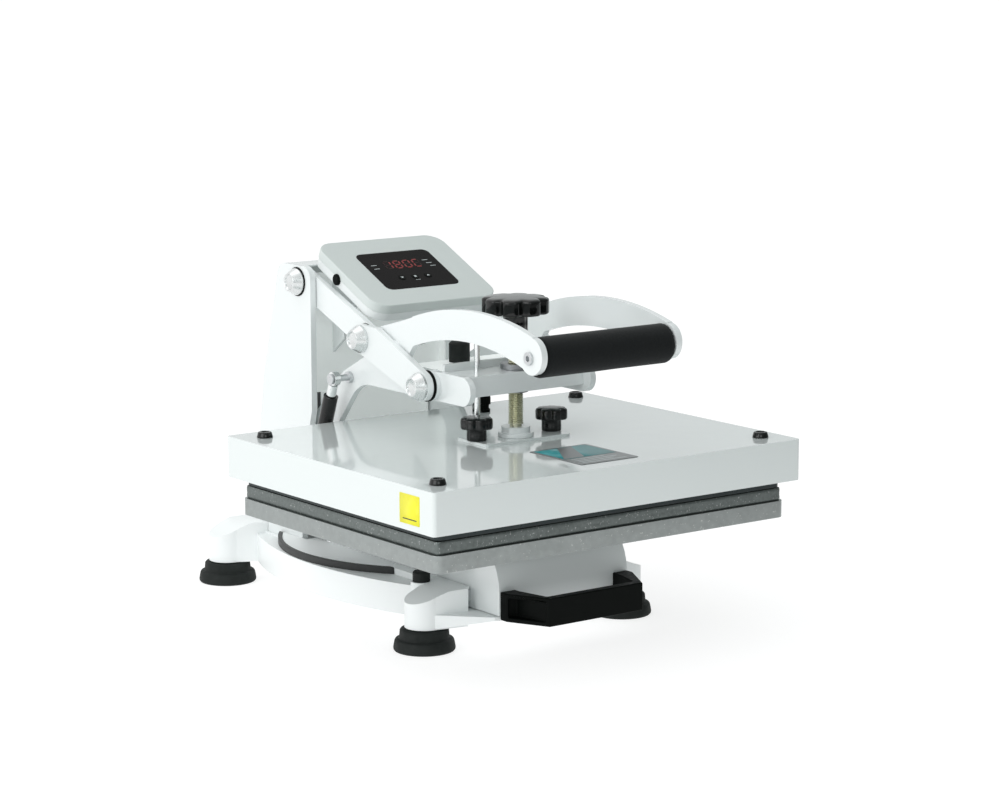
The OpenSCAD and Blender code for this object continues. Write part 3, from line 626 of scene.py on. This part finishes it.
def star_rings(diameter, lobes, hub_diameter, hub_height, head_height):
    """Rings of a moulded star knob, from the hub's foot to the middle of its domed top."""
    around = lobes * POINTS_PER_LOBE
    outer, hub = diameter / 2, hub_diameter / 2
    top = hub_height + head_height
    # radius, height and how fully the flutes are cut
    stations = [
        (hub * 0.6, 0.4, 0.0), (hub * 0.93, 0.0, 0.15), (hub, 0.8, 0.25),
        (hub, hub_height * 0.5, 0.3), (hub, hub_height - 1.2, 0.3),
        (hub * 1.06, hub_height - 0.2, 0.35), (outer * 0.84, hub_height + 0.2, 0.9),
        (outer * 0.95, hub_height + 0.6, 1.0), (outer * 0.99, hub_height + 1.6, 1.0),
        (outer, hub_height + 3.0, 1.0), (outer, top - 4.6, 1.0), (outer * 0.993, top - 3.4, 1.0),
        (outer * 0.97, top - 2.3, 1.0), (outer * 0.93, top - 1.5, 0.95),
        (outer * 0.86, top - 0.95, 0.85), (outer * 0.72, top - 0.55, 0.5),
        (outer * 0.5, top - 0.25, 0.15), (outer * 0.3, top - 0.1, 0.0),
        (outer * 0.1, top - 0.02, 0.0), (0.3, top, 0.0),
    ]
    grooves = [(0.5 - 0.5 * math.cos(lobes * (2 * math.pi * i / around))) ** 3
               for i in range(around)]
    return [ring_at(height, around, lambda i: radius * (1 - FLUTE_DEPTH * cut * grooves[i]))
            for radius, height, cut in stations]


def add_knobs(m):
    for node, body, lobes, hub, hub_height, stud in KNOBS:
        low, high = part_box(node)
        foot = low.z + stud
        diameter = (high.y - low.y) / MM
        rings = star_rings(diameter, lobes, hub, hub_height, (high.z - foot) / MM - hub_height)
        place = Matrix.Translation(((low.x + high.x) / 2, (low.y + high.y) / 2, foot))
        piece = link_piece(node + "_moulded", skinned_mesh(node, [rings]), m["knob"], body,
                           place)
        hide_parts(node)


# ---------------------------------------------------------------- pivot caps

# Turned profiles are (radius, distance from the object's middle) in millimetres.
CAP_START = 109.01
CAP_PROFILE = [(radius, CAP_START + rise) for radius, rise in (
    (16.2, 0), (16.5, 0.5), (16.5, 3.2), (16.1, 3.7), (11.4, 12.3), (10.8, 12.9), (10.2, 13.0),
    (9.6, 12.5), (8.6, 10.6), (5.0, 9.4), (1.5, 9.1), (0.2, 9.1))]
CAP_RADIUS = 0.0165
LEVER_PIN = [(0.2, 77), (7.2, 77), (7.5, 77.4), (7.5, 82.4), (6.0, 82.5), (6.0, 109.0)]
KNEE_PIN = [(0.2, 100.4), (6.0, 100.4), (6.0, 109.0)]
LINK_PIN = [(0.2, 87), (9.7, 87), (10, 87.4), (10, 91), (6, 91.1), (6, 100.2), (10, 100.3),
            (10, 101), (6, 101.1), (6, 109.0)]
LINK_WASHER = [(16.3, 109.03), (17.8, 109.03), (17.8, 110.1), (16.4, 110.1)]


def pointing_out(side, y, z):
    """Lays a turned piece across the object, with its Z axis pointing out on one side."""
    return Matrix.Translation((0, y, z)) @ Matrix.Rotation(side * math.pi / 2, 4, "Y")


def add_caps(m):
    """Turned pivot caps with their pins, and a washer round each of the links' caps."""
    lever_low, lever_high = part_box("lever_caps")
    lever = (lever_low.y + CAP_RADIUS, lever_low.z + CAP_RADIUS)
    knee = (lever_high.y - CAP_RADIUS, lever_high.z - CAP_RADIUS)
    link = (centre("link_pins").y, centre("link_pins").z)
    for side, tag in ((1, "right"), (-1, "left")):
        for kind, body, node, place_yz, pin in (
                ("lever_cap_", "hand_lever", "lever_caps", lever, LEVER_PIN),
                ("knee_cap_", "hand_lever", "lever_caps", knee, KNEE_PIN),
                ("link_cap_", "frame", "link_pins", link, LINK_PIN)):
            piece = link_piece(kind + tag, lathe(kind + tag, pin + CAP_PROFILE, 72), m["cap"],
                               body, pointing_out(side, *place_yz))
            sharp_by_angle(piece, 30)
            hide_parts(node)
        link_piece("link_washer_" + tag, lathe("link_washer", LINK_WASHER, 64),
                   m["satin_black"], "frame", pointing_out(side, *link),
                   smooth=False)


# ---------------------------------------------------------------- rubber, foam and silicone


def add_feet(m):
    """Four moulded feet: a broad skirt, a step and a collar, with the bolt hole dished
    underneath."""
    foot_radius = 0.036
    profile = [(8.5, 6.0), (8.5, 1.0), (12, 0.4), (31, 0.0), (34.6, 0.3), (35.8, 1.8),
               (36.0, 3.6), (35.4, 7.5), (34.4, 12.2), (33.4, 13.6), (31.8, 14.1), (29.9, 14.4),
               (29.2, 15.2), (29.0, 17.0), (28.4, 24.0), (27.2, 25.5), (22.2, 26.1),
               (22.0, 27.4), (10.0, 27.4), (4.4, 27.4)]
    for number, (x, y) in enumerate(corner_places("rubber_feet", foot_radius), 1):
        name = "rubber_foot_%d" % number
        piece = link_piece(name, lathe(name, profile, 80), m["rubber"], "frame",
                           Matrix.Translation((x, y, 0)))
        sharp_by_angle(piece, 55)
        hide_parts("rubber_feet")


def add_grip(m):
    """Foam sleeve with soft ends and the slight unevenness of a hand-worn tube."""
    around, lengthwise = 72, 40
    bore_radius, clearance, soft_end, unevenness = 15.9, 0.25, 3.6, 0.22
    length = (GRIP_HIGH.x - GRIP_LOW.x) / MM
    radius = (GRIP_HIGH.z - GRIP_LOW.z) / 2 / MM - clearance
    start = [(0.0, bore_radius), (0.0, radius - 4.5), (0.5, radius - 2.0), (1.7, radius - 0.6),
             (soft_end, radius)]
    middle = [(soft_end + (length - 2 * soft_end) * i / lengthwise, radius)
              for i in range(1, lengthwise)]
    end = [(length - x, r) for x, r in reversed(start)]
    rings = []
    for x, r in start + middle + end:
        ring = []
        for i in range(around):
            a = 2 * math.pi * i / around
            swell = noise.noise(Vector((x * 0.03, 2 * math.cos(a), 2 * math.sin(a))))
            s = r + (swell * unevenness if r > bore_radius + 1.1 else 0)
            ring.append(((x - length / 2) * MM, s * MM * math.cos(a), s * MM * math.sin(a)))
        rings.append(ring)
    data = skinned_mesh("grip_sleeve", [rings], closed_ends=False)
    place = Matrix.Translation(centre("grip_foam"))
    piece = link_piece("grip_sleeve", data, m["foam"], "hand_lever", place)
    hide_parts("grip_foam")


def add_pad(m):
    """Silicone sponge pad, cut from sheet: edges a little rounded and not quite straight."""
    spacing, corner_radius, margin = 4, 5, 0.3
    long_waves, short_waves = 0.35, 0.18
    width, depth = (PAD_HIGH.x - PAD_LOW.x) / MM, (PAD_HIGH.y - PAD_LOW.y) / MM
    thick = (PAD_HIGH.z - PAD_LOW.z) / MM
    outline = []
    corners = rounded_outline(width - 1.0, depth - 1.0, corner_radius, 4)
    for (x0, y0), (x1, y1) in zip(corners, corners[1:] + corners[:1]):
        steps = max(1, int(math.hypot(x1 - x0, y1 - y0) / spacing))
        outline += [(x0 + (x1 - x0) * i / steps, y0 + (y1 - y0) * i / steps)
                    for i in range(steps)]
    # height and how far the edge is drawn in there
    levels = [(0.0, 1.2), (0.6, 0.3), (3, 0.0), (6, 0.1), (9, 0.1), (12, 0.0),
              (thick - 0.6, 0.3), (thick, 1.2)]
    rings = []
    for level, inset in levels:
        ring = []
        for x, y in outline:
            rough = long_waves * noise.noise(Vector((x * 0.05, y * 0.05, level * 0.2)))
            rough += short_waves * noise.noise(Vector((x * 0.3, y * 0.3, level * 0.6)))
            away = Vector((x / width, y / depth)).normalized() * (inset + margin + rough)
            ring.append(((x - away.x) * MM, (y - away.y) * MM, level * MM))
        rings.append(ring)
    middle = centre("silicone_pad")
    place = Matrix.Translation((middle.x, middle.y, PAD_LOW.z))
    piece = link_piece("silicone_sponge", skinned_mesh("silicone_sponge", [rings]), m["pad"],
                       "drawer", place)
    sharp_by_angle(piece, 60)
    shade_flats(piece)
    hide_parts("silicone_pad")


# ---------------------------------------------------------------- control box

SEGMENTS = {"0": "abcdef", "1": "bc", "8": "abcdefg", "C": "adef"}
FACE_OVER_WINDOW = Vector((0, 0, 0.00055))  # from the window's middle up to the box's face
WINDOW_TOP = 0.42  # in millimetres over the box's face
KEY_SPACING, KEY_ROW_Y, KEY_TOP = 19, -18, 1.0


def box_place(x=0.0, y=0.0, z=0.0):
    """A point in the control box's sloping frame, in millimetres from its face's middle."""
    face = centre("display_window") + Matrix.Rotation(BOX_TILT, 3, "X") @ FACE_OVER_WINDOW
    slope = Matrix.Translation(face) @ Matrix.Rotation(BOX_TILT, 4, "X")
    return slope @ Matrix.Translation((x * MM, y * MM, z * MM))


def add_box_front(m):
    """Front shell: a moulded lid with a soft outer radius and a sunken seat for the window."""
    width, length, corner_radius, corner_steps = 182, 150, 22, 10
    # inset and height over the face
    levels = [(0.8, -12.0), (0.0, -11.4), (0.0, -1.5), (0.15, -0.8), (0.6, -0.25), (1.5, 0.0)]
    rings = [outline_ring(rounded_outline(width - 2 * inset, length - 2 * inset,
                                          corner_radius - inset, corner_steps), z)
             for inset, z in levels]
    window = rounded_outline(107, 84, 9, corner_steps)
    rings += [outline_ring(window, z) for z in (0.0, -1.5)]
    data = skinned_mesh("box_front_moulding", [rings], closed_ends=False)
    piece = link_piece("box_front_moulding", data, m["box_plastic"], "frame",
                       box_place())
    sharp_by_angle(piece, 45)
    shade_flats(piece)
    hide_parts("box_front_shell")


def segment_shape(letter, w, h, t):
    """Outline of one bar, t thick, of a seven-segment digit that is w wide and h high."""
    half = h / 2
    places = {"a": (0, half, 1), "g": (0, 0, 1), "d": (0, -half, 1), "f": (-w / 2, half / 2, 0),
              "b": (w / 2, half / 2, 0), "e": (-w / 2, -half / 2, 0), "c": (w / 2, -half / 2, 0)}
    cx, cy, flat = places[letter]
    reach = (w if flat else half) / 2 - t * 0.35
    bar = [(-reach, 0), (-reach + t / 2, t / 2), (reach - t / 2, t / 2), (reach, 0),
           (reach - t / 2, -t / 2), (-reach + t / 2, -t / 2)]
    if not flat:
        bar = [(y, x) for x, y in reversed(bar)]
    return [(cx + x, cy + y) for x, y in bar]


def add_digits(m):
    """A generic reading in seven-segment digits, with the unlit bars faintly there."""
    first_x, spacing, row_y, slant = -21.0, 14.0, 12, 0.08
    width, height, bar_thickness = 8.6, 16.0, 2.1
    lit, unlit = [], []
    for place, glyph in enumerate("180C"):
        cx = first_x + spacing * place
        for letter in "abcdefg":
            shape = [(cx + x + slant * y, row_y + y)
                     for x, y in segment_shape(letter, width, height, bar_thickness)]
            (lit if letter in SEGMENTS[glyph] else unlit).append(shape)
    for name, shapes, finish in (("digits_lit", lit, "digit"),
                                 ("digits_unlit", unlit, "digit_off")):
        add_print(name, shapes, WINDOW_TOP, WINDOW_TOP + 0.12, m[finish], "frame",
                  box_place())


def add_display(m):
    """Red digits, indicator bars and key marks on the black window."""
    add_digits(m)
    shapes = [rectangle(x, y, 8, 1) for x, y in ((-41, 14), (-41, 6), (36, 17), (38, 10), (40, 3))]
    shapes.append(rectangle(0, -25.3, 7, 0.6))
    add_print("window_marks", shapes, WINDOW_TOP, WINDOW_TOP + 0.1, m["ink_pale"], "frame",
              box_place())
    marks = {"minus": [(-2.2, 1.3), (0, -1.8), (2.2, 1.3)], "set": rectangle(0, 0, 3.2, 3.2),
             "plus": [(-2.2, -1.3), (2.2, -1.3), (0, 1.8)]}
    for number, (key, mark) in enumerate(marks.items()):
        add_print("key_mark_" + key, [mark], 0.01, 0.12, m["ink_pale"], "key_" + key,
                  box_place((number - 1) * KEY_SPACING, KEY_ROW_Y, KEY_TOP))


# ---------------------------------------------------------------- plates and screws on the head


def add_cover_screws(m):
    """Four black screws in the cover's corners: a tapered head with a dished middle on a plain
    stud."""
    head_radius = 0.0095
    profile = [(3.0, -18.0), (3.0, 0.02), (9.2, 0.02), (9.5, 0.3), (9.5, 1.0), (8.2, 5.9),
               (7.6, 6.6), (6.9, 6.8), (5.4, 6.8), (5.0, 6.4), (4.8, 4.8), (4.2, 4.6),
               (0.3, 4.6)]
    for number, (x, y) in enumerate(corner_places("cover_screws", head_radius), 1):
        name = "cover_screw_%d" % number
        piece = link_piece(name, lathe(name, profile, 48), m["knob"], "head",
                           Matrix.Translation((x, y, COVER_HIGH.z)))
        sharp_by_angle(piece, 50)
        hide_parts("cover_screws")


def add_name_plate(m):
    """Plain grey plate with a teal panel and rows of neutral bars in place of any wording."""
    low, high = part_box("name_plate")
    place = Matrix.Translation(((low.x + high.x) / 2, (low.y + high.y) / 2, low.z))
    plate_top, panel_top = 0.6, 0.7
    base = link_piece("head_plate",
                      flat_plates("head_plate", [rounded_outline(82, 98, 2, 4)], 0, plate_top),
                      m["plate_grey"], "head", place)
    round_edges(base, 0.2, 2).harden_normals = True
    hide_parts("name_plate")
    panel = [(x, y + 16) for x, y in rounded_outline(74, 58, 1, 3)]
    link_piece("head_plate_panel",
               flat_plates("head_plate_panel", [panel], plate_top, panel_top),
               m["teal"], "head", place)
    rows = [rectangle(x, y, width, 2)
            for x, y, width in ((-10, -20, 46), (-4, -27, 60), (-8, -34, 50), (-2, -41, 64))]
    add_print("head_plate_rows", rows, plate_top, plate_top + 0.08, m["ink_pale"], "head",
              place)
    flash = [(-37, -12), (-8, -12), (16, 44), (-4, 44)]
    add_print("head_plate_flash", [flash], panel_top, panel_top + 0.06, m["plate_grey"], "head",
              place)


def add_side_label(m):
    """Plain yellow film on the head's left side, with a dark rule near its lower edge."""
    film_top = 0.25
    turn = Matrix.Rotation(-math.pi / 2, 4, "Z") @ Matrix.Rotation(math.pi / 2, 4, "X")
    place = Matrix.Translation((COVER_LOW.x, COVER_LOW.y + 0.045, COVER_LOW.z + 0.0235)) @ turn
    film = rounded_outline(38, 33, 1.2, 3)
    link_piece("side_film", flat_plates("side_film", [film], -0.1, film_top), m["yellow"],
               "head", place)
    add_print("side_film_rule", [rectangle(0, -11, 26, 1.2)], film_top, film_top + 0.07,
              m["ink_dark"], "head", place)


def add_cable_gland(m):
    """Gland for the heater's lead, on the cover."""
    profile = [(11, 0), (11, 3), (9.5, 3.2), (9.5, 9), (11.5, 9.4), (11.5, 18), (10.0, 21),
               (7.0, 22.5), (3.5, 22.5)]
    place = Matrix.Translation((0.075, HOME_Y + 0.165, COVER_HIGH.z))
    piece = link_piece("cable_gland", lathe("cable_gland", profile, 48), m["satin_black"],
                       "head", place)
    sharp_by_angle(piece, 30)


# ---------------------------------------------------------------- build everything

materials = make_materials()
add_camera()
add_studio()
add_floor()
for build in (dress_parts, add_screw, add_knobs, add_caps, add_feet, add_grip, add_pad,
              add_box_front, add_display, add_cover_screws, add_name_plate, add_side_label,
              add_cable_gland):
    build(materials)
